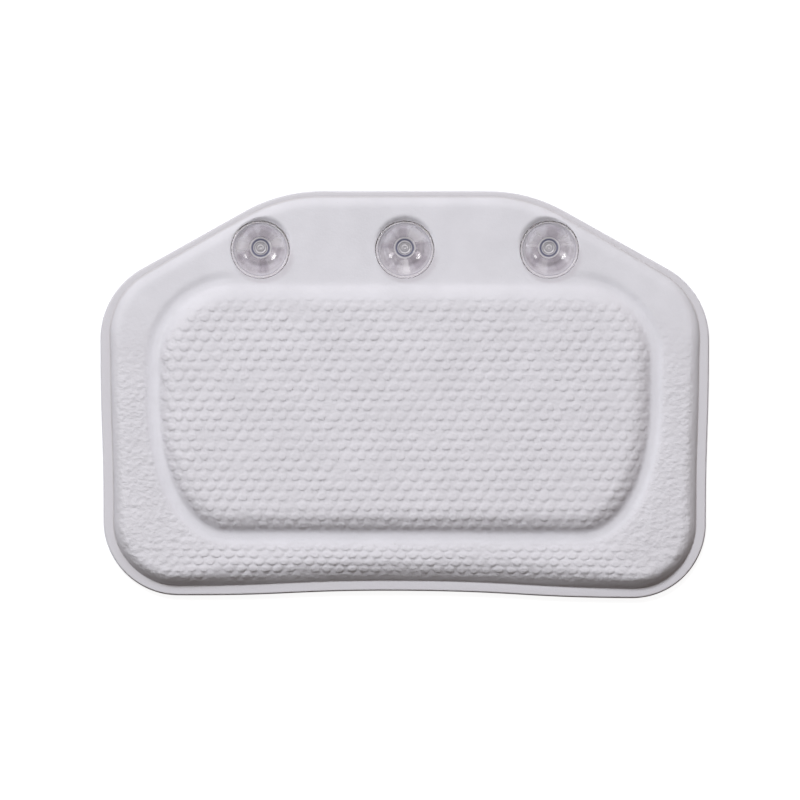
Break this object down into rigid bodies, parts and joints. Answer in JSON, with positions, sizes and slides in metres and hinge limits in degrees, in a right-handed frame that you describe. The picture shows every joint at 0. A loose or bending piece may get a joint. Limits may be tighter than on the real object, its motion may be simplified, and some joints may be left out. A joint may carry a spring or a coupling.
{
  "type": "bath pillow",
  "caption": "Soft white bath pillow with a raised dotted pad, a rolled border and clear suction cups along its upper edge that rock in welded spots.",
  "frame": {"origin": "middle of the outline, on the surface that the flat back rests on", "axes": "+X across the pillow to the right as seen from the front, +Y towards the cup edge, +Z out of the front"},
  "size_m": [0.31, 0.2064, 0.0216],
  "materials": {
    "white_skin": "matte",
    "foam": "matte",
    "clear_cup": "gloss"
  },
  "bodies": {
    "pillow": {"front_skin": "white_skin", "back_skin": "white_skin", "foam_core": "foam"},
    "cup_left": {"suction_cup_left": "clear_cup"},
    "cup_middle": {"suction_cup_middle": "clear_cup"},
    "cup_right": {"suction_cup_right": "clear_cup"}
  },
  "joints": [
    {"name": "cup_left_rock", "type": "hinge", "parent": "pillow", "child": "cup_left", "pos_m": [-0.073, 0.07545, 0.00695], "axis": [1, 0, 0], "range_deg": [-28, 0]},
    {"name": "cup_middle_rock", "type": "hinge", "parent": "pillow", "child": "cup_middle", "pos_m": [0, 0.07545, 0.00695], "axis": [1, 0, 0], "range_deg": [-28, 0]},
    {"name": "cup_right_rock", "type": "hinge", "parent": "pillow", "child": "cup_right", "pos_m": [0.073, 0.07545, 0.00695], "axis": [1, 0, 0], "range_deg": [-28, 0]}
  ]
}
